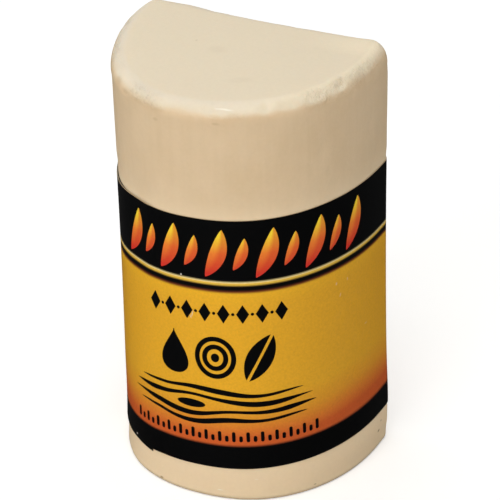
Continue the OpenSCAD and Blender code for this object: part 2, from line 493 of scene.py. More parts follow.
def wax_rings(outline):
    """Rings of the block, from the middle of the foot over the wall to the middle of the top.

    The foot is the outline scaled towards the origin. Its edge and the rim are quarter circles carried
    round the outline, the rim's stretched to the roll's height. The wall follows the waist, and the dish
    is the rim's ring scaled towards the origin.
    """
    wax = outline.wax
    arc = np.arange(WAX_COLUMNS) / WAX_COLUMNS * outline.length
    lean = outline.lean(arc, 0.0)
    x, y = outline.at(arc, wax.foot_radius + lean)
    shares = np.linspace(0, 1, FOOT_DISC_RINGS + 1)[1:-1, None]
    rings = [np.stack([x * shares, y * shares, 0 * x * shares], axis=-1)]

    turn = np.linspace(0, np.pi / 2, FOOT_EDGE_RINGS)[:, None]
    x, y = outline.at(arc[None], wax.foot_radius * (1 - np.sin(turn)) + lean)
    rings.append(np.stack([x, y, wax.foot_radius * (1 - np.cos(turn)) + 0 * x], axis=-1))

    share = worn_share(wax, outline.at(arc, wax.rim_radius)[0])
    crest_inset = wax.rim_radius - wax.crest_shift * share
    crest_x, crest_y = outline.at(arc, crest_inset)
    crest_z = top_height(outline, crest_x, crest_y)
    tall = roll_height(wax, crest_x, crest_y)

    def worn_in(z):
        """How far the wall and the roll are worn in at a height."""
        return wax.wear * share * smooth_step(z - crest_z, -wax.wear_reach, wax.wear_span)

    up = np.linspace(0, 1, WALL_RINGS + 2)[1:-1, None]
    z = wax.foot_radius + up * (crest_z - tall - wax.foot_radius)
    rings.append(outline.wall(arc[None], z, -worn_in(z)))

    turn = np.linspace(0, np.pi / 2, RIM_RINGS)[:, None]
    z = crest_z - tall * (1 - np.sin(turn))
    x, y = outline.at(arc[None], worn_in(z) + (crest_inset - wax.wear * share) * (1 - np.cos(turn)))
    rings.append(np.stack(np.broadcast_arrays(x, y, z), axis=-1))

    shares = np.linspace(1, 0, DISH_RINGS + 1)[1:-1, None]
    x = crest_x * shares
    y = crest_y * shares
    rings.append(np.stack([x, y, top_height(outline, x, y)], axis=-1))
    return np.concatenate(rings)


# Size and seed of the slow waves
WAVE_SIZE = 9 * MM
WAVE_SEED = 3
# Seed of the dents, the share of them on the rim, and the share on one crowded stretch of the outline
DENT_SEED = 11
DENTS_ON_RIM = 0.7
DENTS_CROWDED = 0.35
CROWDED_STRETCH = (0.33, 0.52)
# How far in and how far down a dent on the rim lies, as shares of the rim's radius
DENT_IN = 0.4
DENT_DOWN = 0.3
# Sizes of the dents in mm, shares of their depth before squaring, and the share that is left at the back
DENT_SIZES = (0.25, 0.8)
DENT_DEPTHS = (0.2, 1.0)
DENT_AT_BACK = 0.4


def roughen(points, outline, label):
    """Moves the bare wax in by slow waves and small dents, and leaves the foot and the wall under the label.

    A dent is its depth * exp(-(distance / size)^2) round a random place on the rim or the wall.
    """
    wax = outline.wax
    z = points[:, 2]
    covered_low = label.place - label.rise
    covered_high = label.place + label.height + label.rise
    bare = np.clip((covered_low - z) / MM, 0, 1) + np.clip((z - covered_high) / MM, 0, 1)
    bare *= np.clip(z / MM, 0, 1)
    depth = wax.unevenness * slow_waves(points, WAVE_SIZE, WAVE_SEED)

    rng = np.random.default_rng(DENT_SEED)
    count = wax.dent_count
    on_rim = rng.uniform(size=count) < DENTS_ON_RIM
    crowded = rng.uniform(size=count) < DENTS_CROWDED
    spots = np.where(crowded, rng.uniform(*CROWDED_STRETCH, count), rng.uniform(size=count))
    spots = spots * outline.length
    x, y = outline.at(spots, np.where(on_rim, DENT_IN * wax.rim_radius, 0.0))
    rim_z = top_height(outline, x, y) - DENT_DOWN * wax.rim_radius
    wall_z = covered_high + rng.uniform(size=count) * (rim_z - covered_high)
    centres = np.stack([x, y, np.where(on_rim, rim_z, wall_z)], axis=-1)
    sizes = rng.uniform(*DENT_SIZES, count) * MM
    depths = wax.dent_depth * rng.uniform(*DENT_DEPTHS, count) ** 2
    depths = depths * np.where(y > wax.depth / 4, DENT_AT_BACK, 1.0)
    for centre, size, deep in zip(centres, sizes, depths):
        depth += deep * np.exp(-np.sum((points - centre) ** 2, axis=1) / size**2)

    inward = -points * [1, 1, 0]
    inward /= np.maximum(np.linalg.norm(inward, axis=1, keepdims=True), MM)
    high = np.clip((z - (wax.height - 2 * wax.rim_radius)) / wax.rim_radius, 0, 1)[:, None]
    way = inward * (1 - high) + np.array([0, 0, -1]) * high
    return points + way * (depth * bare)[:, None]


def make_wax(settings):
    """The cast block, closed by a fan at each pole."""
    outline = Outline(settings.wax)
    rings = wax_rings(outline)
    count = len(rings)
    poles = np.array([[0, 0, 0], [0, 0, top_height(outline, 0.0, 0.0)]])
    points = np.concatenate([rings.reshape(-1, 3), poles])
    points = roughen(points, outline, settings.label)
    points[-2] = poles[0]
    c = np.arange(WAX_COLUMNS)
    n = (c + 1) % WAX_COLUMNS
    last = (count - 1) * WAX_COLUMNS
    foot_fan = np.stack([n, c, np.full_like(c, len(points) - 2)], axis=1)
    top_fan = np.stack([last + c, last + n, np.full_like(c, len(points) - 1)], axis=1)
    faces = grid_quads(count, WAX_COLUMNS).tolist() + foot_fan.tolist() + top_fan.tolist()
    new_piece("cast_wax", points, faces, [wax_material(settings)], "wax_stick")


# The label

# Number of points along and up the film and the coat
STRIP_COLUMNS = 440
STRIP_ROWS = 84
COAT_COLUMNS = 300
COAT_ROWS = 12


class Strip:
    """The label strip as it lies on the stick.

    A place on the strip is l, the length from its start, and h, the height above its lower edge. It runs
    clockwise, so the outline's arc falls as l grows. The lap climbs onto the start by a straight ramp.
    """

    def __init__(self, settings):
        self.label = settings.label
        self.outline = Outline(settings.wax)
        self.turn = self.outline.length
        self.layer = self.label.film + self.label.adhesive
        self.start_arc = self.outline.front_arc(-self.label.start)
        self.length = self.turn + self.label.lap

    def lift(self, l):
        """Height of the layer's inner side above the wax: one layer on the lap, and a ramp before it."""
        return self.layer * np.clip((l - self.turn + self.label.climb) / self.label.climb, 0, 1)

    def skew(self, l):
        """How far the strip lies above its own line near its start.

        As a share of the skew it rises evenly from -low_share at the start to 1 - low_share at the lap's
        length, and falls back to 0 over the same length again.
        """
        label = self.label
        near = l / label.lap - label.low_share
        far = (1 - label.low_share) * np.maximum(2 - l / label.lap, 0)
        first_turn = np.where(l < label.lap, near, far)
        return label.skew * np.where(l < self.turn - label.climb, first_turn, 0)

    def points(self, l, h, out):
        """Points at places on the strip, the third value above the layer's inner side.

        The start's slant shifts its lower end along by slant * (1 - h / height) and fades over the lap. The
        lower edge is the strip's place plus its rise to the right and its skew, less a bell for its bow.
        """
        label = self.label
        slant = label.slant * (1 - h / label.height) * np.clip(1 - l / label.lap, 0, 1)
        arc = self.start_arc - l - slant
        middle_x = self.outline.at(arc, 0.0)[0]
        low = label.place + label.rise * middle_x / self.outline.wax.width + self.skew(l)
        low = low - label.bow * self.outline.near(arc, label.bow_at, label.bow_reach)
        return self.outline.wall(arc, low + h, self.lift(l) + out + self.bubbles(arc, h))

    def bubbles(self, arc, h):
        """Height of the small bubbles and creases under the film: a sum of bells."""
        total = 0.0 * (arc + h)
        for at_arc, at_h, wide, tall, height in BUBBLES:
            spot = self.outline.near(arc, at_arc * MM, wide * MM) * bell(h, at_h * MM, tall * MM)
            total = total + height * MM * spot
        return total

    def print_points(self, arc, h, out):
        """Points on the outermost layer at an arc and a height, out above the film."""
        on_lap = np.mod(self.start_arc - arc, self.turn)
        l = np.where(on_lap < self.label.lap, self.turn + on_lap, on_lap)
        return self.points(l, h, self.layer + out)


# Bubbles and creases: arc and height in the strip, half width, half height and how far they stand out, in mm
BUBBLES = (
    (36.6, 14.6, 0.5, 0.35, 0.05),
    (37.9, 13.4, 0.45, 0.5, 0.04),
    (40.2, 10.6, 0.4, 0.6, 0.04),
    (21.0, 15.4, 0.25, 0.7, 0.05),
    (25.4, 9.2, 0.5, 0.4, -0.03),
)


def closed_band(outer, inner, loop=False):
    """A closed solid between two grids of points of one shape, stations by rows.

    Returns its points, its quads and, for each quad, 0 on the outer side, 1 on an edge and 2 inside. The
    outer side faces the way that rows cross stations point.
    """
    stations, rows = outer.shape[:2]
    points = np.concatenate([outer, inner[:, ::-1]], axis=1)
    ring = 2 * rows
    i = np.arange(stations if loop else stations - 1)[:, None]
    n = (i + 1) % stations
    k = np.arange(ring)[None]
    m = (k + 1) % ring
    quads = np.stack([i * ring + k, i * ring + m, n * ring + m, n * ring + k], axis=-1).reshape(-1, 4)
    side = np.where(k < rows - 1, 0, np.where((k == rows - 1) | (k == ring - 1), 1, 2))
    kinds = np.broadcast_to(side, (len(i), ring)).reshape(-1)
    if not loop:
        a = np.arange(rows - 1)
        cap = np.stack([a, a + 1, ring - 2 - a, ring - 1 - a], axis=1)
        quads = np.concatenate([quads, cap[:, ::-1], cap + (stations - 1) * ring])
        kinds = np.concatenate([kinds, np.ones(2 * len(cap), int)])
    return points.reshape(-1, 3), quads, kinds


def give_map(piece, name, uv):
    """Gives a piece a UV map from one pair of values for each corner of its faces."""
    layer = piece.data.uv_layers.new(name=name)
    layer.data.foreach_set("uv", np.asarray(uv, np.float32).reshape(-1))


def corner_indices(mesh):
    """The vertex of each corner of each face."""
    found = np.zeros(len(mesh.loops), np.int32)
    mesh.loops.foreach_get("vertex_index", found)
    return found


def strip_grids(strip, low, high, columns, rows):
    """Outer and inner grids of one layer of the strip, and the l and h of their places."""
    l = np.linspace(0, strip.length, columns)[:, None]
    h = np.linspace(0, strip.label.height, rows)[None]
    l, h = np.broadcast_arrays(l, h)
    return strip.points(l, h, high), strip.points(l, h, low), l, h


def make_film(settings):
    """The printed film, one strip with its cut edges, and a map in strip heights for the print."""
    label = settings.label
    strip = Strip(settings)
    outer, inner, l, h = strip_grids(strip, label.adhesive, strip.layer, STRIP_COLUMNS, STRIP_ROWS)
    points, quads, kinds = closed_band(outer, inner)
    materials = [film_material(settings), core_material(settings)]
    film = new_piece("printed_film", points, quads.tolist(), materials, "label_film")
    film.data.polygons.foreach_set("material_index", np.minimum(kinds, 1).astype(np.int32))
    places = np.stack([l, h], axis=-1)
    places = np.concatenate([places, places[:, ::-1]], axis=1).reshape(-1, 2)
    corners = corner_indices(film.data)
    give_map(film, "strip", places[corners] / label.height)
    give_map(film, "OFBake", baked_layout(places[corners], np.repeat(kinds, 4), strip))


# Gap between the rows of the baked layout, and height of a row
LAYOUT_GAP = 0.02
LAYOUT_ROW = 0.46


def baked_layout(places, kinds, strip):
    """A square layout of the strip: its outer side in two long rows, and all else in a thin third one."""
    columns = STRIP_COLUMNS - 1
    half = math.ceil(columns / 2)
    along = places[:, 0].reshape(-1, 4) / strip.length * columns
    second = (along.mean(axis=1) >= half)[:, None]
    u = np.where(second, along - half, along) / half
    up = places[:, 1].reshape(-1, 4) / strip.label.height
    outside = kinds.reshape(-1, 4) == 0
    v = np.where(second, LAYOUT_ROW + LAYOUT_GAP, 0) + up * LAYOUT_ROW
    rest = 2 * (LAYOUT_ROW + LAYOUT_GAP)
    thin = rest + (1 - rest) * up
    layout_u = np.where(outside, u, places[:, 0].reshape(-1, 4) / strip.length)
    return np.stack([layout_u, np.where(outside, v, thin)], axis=-1).reshape(-1, 2)


def make_coat(settings):
    """The adhesive coat between the film and what it lies on."""
    strip = Strip(settings)
    outer, inner, _, _ = strip_grids(strip, 0.0, settings.label.adhesive, COAT_COLUMNS, COAT_ROWS)
    points, quads, _ = closed_band(outer, inner)
    materials = [coat_material(settings.inks)]
    new_piece("adhesive_coat", points, quads.tolist(), materials, "label_adhesive")


# The print's motifs: ribbons of ink, each a middle line with a half width

# Share of its widest half width that a ribbon keeps at its tips
TIP_SHARE = 0.04


def ribbon(middle, half, across=5):
    """Grid of places of a flat ribbon: its middle line, plus the half width times the way to its right."""
    along = np.gradient(middle, axis=0)
    along /= np.linalg.norm(along, axis=1, keepdims=True)
    right = np.stack([along[:, 1], -along[:, 0]], axis=1)
    t = np.linspace(-1, 1, across)[None, :, None]
    return middle[:, None] + t * np.maximum(half, TIP_SHARE * half.max())[:, None, None] * right[:, None]


def round_trip(radius_x, radius_y, centre, half, points=64):
    """A closed ribbon round an ellipse, as wide to both sides of it along its normal."""
    turn = np.arange(points) / points * 2 * np.pi
    middle = np.stack([centre[0] + radius_x * np.cos(turn), centre[1] + radius_y * np.sin(turn)], axis=1)
    out = np.stack([radius_y * np.cos(turn), radius_x * np.sin(turn)], axis=1)
    out /= np.linalg.norm(out, axis=1, keepdims=True)
    t = np.linspace(1, -1, 5)[None, :, None]
    return middle[:, None] - t * half * out[:, None]


def straight(start, end, points):
    """A straight middle line, with its points closer together near both ends."""
    t = (1 - np.cos(np.linspace(0, np.pi, points))) / 2
    return np.asarray(start) + t[:, None] * (np.asarray(end) - np.asarray(start)), t


def disc(centre, radius_x, radius_y):
    """A solid ellipse: half height 2 * radius_y * sqrt(t * (1 - t)) over its width."""
    middle, t = straight((centre[0] - radius_x, centre[1]), (centre[0] + radius_x, centre[1]), points=24)
    return ribbon(middle, 2 * radius_y * np.sqrt(t * (1 - t)))


def diamond(centre, half_wide, half_tall):
    """A solid diamond: half height half_tall * (1 - |2t - 1|) over its width."""
    middle, t = straight((centre[0] - half_wide, centre[1]), (centre[0] + half_wide, centre[1]), points=25)
    return ribbon(middle, half_tall * (1 - np.abs(2 * t - 1)))


def bar(start, end, half):
    """A bar whose ends are half circles: sqrt(1 - (1 - d / half)^2) of its half width at d from an end."""
    middle, t = straight(start, end, points=32)
    long = np.linalg.norm(np.asarray(end) - np.asarray(start))
    from_end = np.minimum(t, 1 - t) * long
    return ribbon(middle, half * np.sqrt(np.clip(1 - (1 - np.minimum(from_end / half, 1)) ** 2, 0, 1)))


def drop(centre, half_wide, tall):
    """A drop with its tip up: half width w*sin(a)*sin(a/2)^1.6 at height cos(a)*tall/2."""
    a = np.linspace(0, np.pi, 48)
    middle = np.stack([np.full_like(a, centre[0]), centre[1] + np.cos(a) * tall / 2], axis=1)
    profile = np.sin(a) * np.sin(a / 2) ** 1.6
    return ribbon(middle, half_wide * profile / profile.max())


def half_leaf(foot, tip, wide, gap, side):
    """One half of a leaf beside its vein, with a half width of sin(pi t)^0.8."""
    middle, t = straight(foot, tip, points=40)
    way = (np.asarray(tip) - np.asarray(foot)) / np.linalg.norm(np.asarray(tip) - np.asarray(foot))
    right = np.array([way[1], -way[0]])
    full = wide * np.sin(np.pi * t) ** 0.8
    return ribbon(middle + side * right * (gap + full)[:, None] / 2, full / 2)


def lay_ink(name, ribbons, settings, material, low, tall):
    """Lays ribbons of ink on the label as one piece. Each comes with whether it closes on itself.

    The piece's map holds how far across its ribbon and how high in its row a place is, from 0 to 1.
    """
    strip = Strip(settings)
    all_points = []
    all_quads = []
    all_places = []
    count = 0
    for grid, loop in ribbons:
        arc = grid[..., 0]
        h = grid[..., 1]
        outer = strip.print_points(arc, h, settings.label.ink)
        inner = strip.print_points(arc, h, 0.0)
        points, quads, _ = closed_band(outer, inner, loop)
        across = np.broadcast_to(np.linspace(0, 1, grid.shape[1]), grid.shape[:2])
        place = np.stack([across, (h - low) / tall], axis=-1)
        all_places.append(np.concatenate([place, place[:, ::-1]], axis=1).reshape(-1, 2))
        all_points.append(points)
        all_quads.append(quads + count)
        count += len(points)
    quads = np.concatenate(all_quads).tolist()
    piece = new_piece(name, np.concatenate(all_points), quads, [material])
    give_map(piece, "strip", np.concatenate(all_places)[corner_indices(piece.data)])


# Number of leaves, how far they lean and bend, their half width, and the height of a short one
LEAVES = 11
LEAF_LEAN = 0.34
LEAF_BEND = 0.08
LEAF_HALF = 0.16
SHORT_LEAF = 0.66


def make_leaves(settings):
    """A row of slanted leaves on the upper band, tall and short by turns.

    A leaf's middle line is bent by sin(pi * t), and its half width goes with sin(pi * t)^0.75.
    """
    places = settings.places
    ribbons = []
    for i, arc in enumerate(np.linspace(places.leaves_from, places.leaves_to, LEAVES)):
        tall = places.leaf_tall * (1.0 if i % 2 == 0 else SHORT_LEAF)
        foot = np.array([arc - LEAF_LEAN * tall / 2, places.leaf_low + (places.leaf_tall - tall) / 2])
        tip = foot + np.array([LEAF_LEAN * tall, tall])
        middle, t = straight(foot, tip, points=40)
        bend = LEAF_BEND * tall * np.sin(np.pi * t)[:, None] * np.array([1, -LEAF_LEAN])
        half = LEAF_HALF * tall * np.sin(np.pi * t) ** 0.75
        ribbons.append((ribbon(middle + bend, half, across=7), False))
    lay_ink("leaf_row", ribbons, settings, leaf_material(settings), places.leaf_low, places.leaf_tall)


# Number of diamonds, and the half width of a diamond and the radius of a dot as shares of the pitch
BEADS = 8
BEAD_HALF = 0.66
DOT_RADIUS = 0.17


def make_beads(settings):
    """A row of small diamonds with dots between them."""
    places = settings.places
    arcs = np.linspace(places.signs_from, places.signs_to, 2 * BEADS - 1)
    pitch = arcs[1] - arcs[0]
    tall = places.bead_tall
    ribbons = []
    for i, arc in enumerate(arcs):
        middle = (arc, places.bead_middle)
        if i % 2 == 0:
            ribbons.append((diamond(middle, BEAD_HALF * pitch, tall / 2), False))
        else:
            ribbons.append((disc(middle, DOT_RADIUS * pitch, DOT_RADIUS * pitch), False))
    lay_ink("bead_row", ribbons, settings, ink_material(settings), places.bead_middle - tall / 2, tall)


# Sizes of the bold signs as shares of their height: the drop's half width and height
DROP = (0.31, 0.96)
# The radii of the log's rings, their half width and how much taller than wide they are, and its core
RINGS = (0.37, 0.215)
RING_HALF = 0.05
RING_TALL = 1.12
CORE = (0.085, 0.095)
# The leaf's reach from its middle, the width of its halves and the gap of its vein
LEAF_REACH = (0.24, 0.48)
LEAF_SIDE = 0.235
LEAF_VEIN = 0.055


def make_signs(settings):
    """Three bold signs: a drop of wax, the rings of a log and a leaf."""
    places = settings.places
    tall = places.sign_tall
    wide = (places.signs_to - places.signs_from) / 3
    first, second, third = [(places.signs_from + wide * (i + 0.5), places.sign_middle) for i in range(3)]
    ribbons = [(drop(first, DROP[0] * tall, DROP[1] * tall), False)]
    for share in RINGS:
        ring = round_trip(share * tall, RING_TALL * share * tall, second, RING_HALF * tall)
        ribbons.append((ring, True))
    ribbons.append((disc(second, CORE[0] * tall, CORE[1] * tall), False))
    foot = (third[0] - LEAF_REACH[0] * tall, third[1] - LEAF_REACH[1] * tall)
    tip = (third[0] + LEAF_REACH[0] * tall, third[1] + LEAF_REACH[1] * tall)
    for side in (-1, 1):
        ribbons.append((half_leaf(foot, tip, LEAF_SIDE * tall, LEAF_VEIN * tall, side), False))
    lay_ink("sign_row", ribbons, settings, ink_material(settings), places.sign_middle - tall / 2, tall)


# Lines of the grain: level, inset of both ends as a share of the length, and how far it parts at the knot
GRAIN_LINES = ((-1.5, 0.05, 0.15), (-0.5, 0.0, 0.17), (0.5, 0.02, 0.17), (1.5, 0.07, 0.15))
# Distance between the levels and half width of a line, as shares of the grain's height
GRAIN_PITCH = 0.26
GRAIN_HALF = 0.062
# Share by which a line swells and thins, how steeply its ends taper, and the taper's power
GRAIN_SWELL = 0.3
GRAIN_TAPER = 7
TAPER_POWER = 0.7
# Height of the slow roll, its speed and its start, and the share of it that the knot stills
ROLL_TALL = 0.035
ROLL_SPEED = 4.4 * np.pi
ROLL_START = 0.7
ROLL_STILLED = 0.7
# Place, reach and half length of the knot as shares of the grain's length, and its half height as one
# of the grain's height
KNOT = 0.37
KNOT_REACH = 0.15
KNOT_SIZE = (0.075, 0.12)


def make_grain(settings):
    """Lines of wood grain with tapered ends: each is its level, a bell at the knot and a slow roll."""
    places = settings.places
    tall = places.grain_tall
    long = places.grain_to - places.grain_from
    knot = places.grain_from + KNOT * long
    middle = places.grain_middle
    ribbons = [(disc((knot, middle), KNOT_SIZE[0] * long, KNOT_SIZE[1] * tall), False)]
    t = np.linspace(0, 1, 140)
    for level, inset, part in GRAIN_LINES:
        along = places.grain_from + (inset + t * (1 - 2 * inset)) * long
        near = bell(along, knot, KNOT_REACH * long)
        roll = ROLL_TALL * np.sin(ROLL_SPEED * t + ROLL_START) * (1 - ROLL_STILLED * near)
        up = middle + tall * (GRAIN_PITCH * level + np.sign(level) * part * near + roll)
        half = GRAIN_HALF * tall * (1 + GRAIN_SWELL * np.sin(3 * np.pi * t + 2 * level))
        half = half * np.clip(np.minimum(t, 1 - t) * GRAIN_TAPER, 0, 1) ** TAPER_POWER
        ribbons.append((ribbon(np.stack([along, up], axis=1), half), False))
    lay_ink("grain_lines", ribbons, settings, ink_material(settings), middle - tall / 2, tall)


# Number of ticks, the first one's distance from the grain's left end, and their half width
TICKS = 29
TICK_INSET = 0.5 * MM
TICK_HALF = 0.17 * MM
# Share of its full height that a short tick has
SHORT_TICK = 0.6


def make_ticks(settings):
    """A row of small upright ticks, long and short by turns."""
    places = settings.places
    ribbons = []
    for i, arc in enumerate(np.linspace(places.grain_from + TICK_INSET, places.grain_to, TICKS)):
        tall = places.tick_tall * (1.0 if i % 2 == 0 else SHORT_TICK)
        ribbons.append((bar((arc, places.tick_low), (arc, places.tick_low + tall), TICK_HALF), False))
    lay_ink("tick_row", ribbons, settings, ink_material(settings), places.tick_low, places.tick_tall)


# Materials

class Nodes:
    """Adds nodes to a tree and links or sets their inputs."""

    def __init__(self, tree):
        self.tree = tree

    def put(self, value, socket):
        """Links another node's output to a socket, or sets the socket to a number or a colour."""
        if isinstance(value, bpy.types.NodeSocket):
            self.tree.links.new(value, socket)
        elif socket.type == "RGBA" and len(value) == 3:
            socket.default_value = (*value, 1.0)
        else:
            socket.default_value = value

    def fill(self, node, inputs):
        """Links or sets a node's inputs, each given by its name or its number."""
        for name, value in inputs.items():
            self.put(value, node.inputs[name])

    def add(self, kind, inputs=None, **settings):
        """A node of a kind, with its settings and its inputs' values."""
        node = self.tree.nodes.new(kind)
        for name, value in settings.items():
            setattr(node, name, value)
        self.fill(node, inputs or {})
        return node

    def math(self, operation, *values):
        """The output of a Math node."""
        return self.add("ShaderNodeMath", dict(enumerate(values)), operation=operation).outputs[0]

    def times(self, first, second):
        """One value times another."""
        return self.math("MULTIPLY", first, second)

    def mix(self, factor, first, second, blend="MIX"):
        """The output of a colour mix."""
        inputs = {0: factor, 6: first, 7: second}
        return self.add("ShaderNodeMix", inputs, data_type="RGBA", blend_type=blend).outputs[2]

    def grey(self, value):
        """A grey of a brightness."""
        return self.add("ShaderNodeCombineColor", {"Red": value, "Green": value, "Blue": value}).outputs[0]

    def parts(self, vector):
        """X, Y and Z of a vector."""
        return self.add("ShaderNodeSeparateXYZ", {"Vector": vector}).outputs

    def surface(self, output="Object"):
        """Places in the object's own frame, or its normals."""
        return self.add("ShaderNodeTexCoord").outputs[output]

    def strip_map(self):
        """The map that the print is laid out in."""
        return self.add("ShaderNodeUVMap", uv_map="strip").outputs[0]

    def noise(self, vector, scale, detail, roughness=0.5):
        """Noise from 0 to 1 over a vector."""
        inputs = {"Vector": vector, "Scale": scale, "Detail": detail, "Roughness": roughness}
        return self.add("ShaderNodeTexNoise", inputs).outputs["Fac"]

    def remap(self, value, start, end, low=0.0, high=1.0, kind="LINEAR"):
        """A value that goes from low to high between a start and an end, and is held beyond them."""
        inputs = {"Value": value, "From Min": start, "From Max": end, "To Min": low, "To Max": high}
        return self.add("ShaderNodeMapRange", inputs, interpolation_type=kind).outputs[0]

    def window(self, value, rise, fall):
        """A share that rises over one range of a value and falls over another."""
        return self.times(self.remap(value, *rise), self.remap(value, *fall))

    def ramp(self, factor, stops):
        """The colour of a ramp through places and colours."""
        node = self.add("ShaderNodeValToRGB", {"Fac": factor})
        elements = node.color_ramp.elements
        while len(elements) < len(stops):
            elements.new(0.5)
        for element, (place, rgb) in zip(elements, sorted(stops, key=lambda stop: stop[0])):
            element.position = place
            element.color = (*rgb, 1.0)
        return node.outputs["Color"]

    def bump(self, height, strength, distance):
        """The normal over a relief."""
        inputs = {"Height": height, "Strength": strength, "Distance": distance}
        return self.add("ShaderNodeBump", inputs).outputs[0]

    def grain(self, base, size, amount):
        """A colour with the shared fine grain, and the grain's height."""
        inputs = {"Color": base, "Vector": self.surface(), "Size": size, "Amount": amount}
        return self.add("ShaderNodeGroup", inputs, node_tree=grain_group()).outputs

    def specks(self, spacing, radius, share):
        """The mask of the shared specks."""
        inputs = {"Vector": self.surface(), "Spacing": spacing, "Radius": radius, "Share": share}
        return self.add("ShaderNodeGroup", inputs, node_tree=specks_group()).outputs["Mask"]


def new_group(name, inputs, outputs):
    """An empty shader node group, whose sockets are given by their names and kinds."""
    group = bpy.data.node_groups.new(name, "ShaderNodeTree")
    for way, sockets in (("INPUT", inputs), ("OUTPUT", outputs)):
        for socket, kind in sockets.items():
            group.interface.new_socket(name=socket, in_out=way, socket_type="NodeSocket" + kind)
    nodes = Nodes(group)
    return group, nodes, nodes.add("NodeGroupInput").outputs, nodes.add("NodeGroupOutput")


def grain_group():
    """Shared fine grain: a colour made slightly lighter and darker by noise of a given size."""
    found = bpy.data.node_groups.get("Fine grain")
    if found:
        return found
    inputs = {"Color": "Color", "Vector": "Vector", "Size": "Float", "Amount": "Float"}
    group, nodes, given, out = new_group("Fine grain", inputs, {"Color": "Color", "Height": "Float"})
    noise = nodes.noise(given["Vector"], scale=nodes.math("DIVIDE", 1.0, given["Size"]), detail=3.0)
    swing = nodes.math("SUBTRACT", noise, 0.5)
    tint = nodes.grey(nodes.math("MULTIPLY_ADD", swing, given["Amount"], 1.0))
    nodes.fill(out, {"Color": nodes.mix(1.0, given["Color"], tint, "MULTIPLY"), "Height": noise})
    return group


def specks_group():
    """Shared specks: a mask of rare round spots, of a given spacing and size, at random cells."""
    found = bpy.data.node_groups.get("Specks")
    if found:
        return found
    inputs = {"Vector": "Vector", "Spacing": "Float", "Radius": "Float", "Share": "Float"}
    group, nodes, given, out = new_group("Specks", inputs, {"Mask": "Float"})
    scale = nodes.math("DIVIDE", 1.0, given["Spacing"])
    cells = nodes.add("ShaderNodeTexVoronoi", {"Vector": given["Vector"], "Scale": scale}).outputs
    draw = nodes.add("ShaderNodeSeparateColor", {"Color": cells["Color"]}).outputs
    chosen = nodes.math("LESS_THAN", draw["Red"], given["Share"])
    reach = nodes.math("DIVIDE", nodes.times(given["Radius"], draw["Green"]), given["Spacing"])
    inside = nodes.remap(cells["Distance"], reach, 0.0, kind="SMOOTHSTEP")
    nodes.fill(out, {"Mask": nodes.times(chosen, inside)})
    return group


def new_material(name):
    """A material, its tree's helper and its shader."""
    material = bpy.data.materials.new(name)
    material.use_nodes = True
    return material, Nodes(material.node_tree), material.node_tree.nodes["Principled BSDF"]


# How far the painted bounce light at the foot reaches above the label's lower edge, how strong the painted
# highlight is just above the label, and how strong the painted light is at the foot
PAINTED_LIGHT_OVER = 2 * MM
PAINTED_LIGHT_ABOVE = 0.8
PAINTED_LIGHT_FOOT = 0.7


def painted_light_share(nodes, place, settings):
    """Share of the painted light: a highlight that fades as exp(-d / reach) above the label, and bounce light
    that holds below the label.
    """
    label = settings.label
    parts = nodes.parts(place)
    edge = nodes.math("MULTIPLY_ADD", parts["X"], label.rise / settings.wax.width, label.place + label.height)
    above = nodes.math("MAXIMUM", nodes.math("SUBTRACT", parts["Z"], edge), 0.0)
    fading = nodes.math("EXPONENT", nodes.math("DIVIDE", above, -settings.look.painted_light_reach))
    foot_top = label.place + PAINTED_LIGHT_OVER
    below = nodes.math("LESS_THAN", parts["Z"], foot_top)
    held = nodes.times(below, nodes.remap(parts["Z"], foot_top, 0.0, low=1.0, high=PAINTED_LIGHT_FOOT))
    return nodes.math("MAXIMUM", nodes.times(fading, PAINTED_LIGHT_ABOVE), held)


# Marks on the wax: middle, half sizes along, through and up in mm, turn in degrees, and strength
# The first three are painted glints on the crest, the other two pale scratches by the foot
GLINTS_AND_SCRATCHES = (
    ((3.4, -8.05, 41.33), (1.2, 0.5, 0.1), 14, 0.6),
    ((8.6, -4.65, 42.0), (0.85, 0.5, 0.1), 41, 0.6),
    ((6.3, -6.7, 41.75), (0.7, 0.5, 0.08), 30, 0.3),
    ((2.3, -8.75, 0.95), (0.45, 0.4, 0.07), 3, 0.6),
    ((5.6, -7.5, 2.4), (0.3, 0.4, 0.12), 20, 0.3),
)
SMUDGES = (
    ((-3.2, -8.5, 39.35), (0.4, 0.5, 0.25), 0, 0.18),
    ((2.9, -8.6, 40.1), (0.5, 0.5, 0.2), 0, 0.18),
    ((-8.3, -5.6, 41.0), (0.9, 0.5, 0.5), -50, 0.14),
    ((-7.1, -6.8, 40.6), (0.8, 0.5, 0.3), -40, 0.16),
    ((10.0, -3.85, 0.6), (0.16, 0.4, 0.13), 0, 0.8),
    ((-4.2, -8.3, 0.4), (0.3, 0.4, 0.16), 0, 0.7),
    ((12.7, 5.4, 2.0), (0.4, 0.3, 0.22), 0, 0.9),
    ((12.75, 5.9, 2.9), (0.4, 0.2, 0.15), 0, 0.7),
    ((-1.5, 1.0, 42.6), (1.3, 1.0, 0.8), 0, 0.07),
    ((3.0, -3.5, 42.2), (1.6, 0.7, 0.8), 20, 0.06),
)


# Share of its half sizes within which a mark is at full strength
MARK_CORE = 0.25


def marks_mask(nodes, place, marks, unit):
    """Mask of soft ellipsoids: each one's strength in its core, fading to 0 at its half sizes."""
    total = 0.0
    for middle, sizes, turn, strength in marks:
        inputs = {
            "Vector": place,
            "Location": [v * unit for v in middle],
            "Rotation": (0.0, 0.0, math.radians(turn)),
            "Scale": [v * unit for v in sizes],
        }
        local = nodes.add("ShaderNodeMapping", inputs, vector_type="TEXTURE").outputs[0]
        off = nodes.add("ShaderNodeVectorMath", {0: local}, operation="LENGTH").outputs["Value"]
        spot = nodes.remap(off, 1.0, MARK_CORE, high=strength, kind="SMOOTHSTEP")
        total = nodes.math("MAXIMUM", spot, total)
    return total


# Upward share of the normal over which the roll of the rim and its crest begin and end
ROLL_RISE = (0.1, 0.4)
ROLL_FALL = (0.97, 0.8)
CREST_RISE = (0.5, 0.85)
CREST_FALL = (1.0, 0.94)
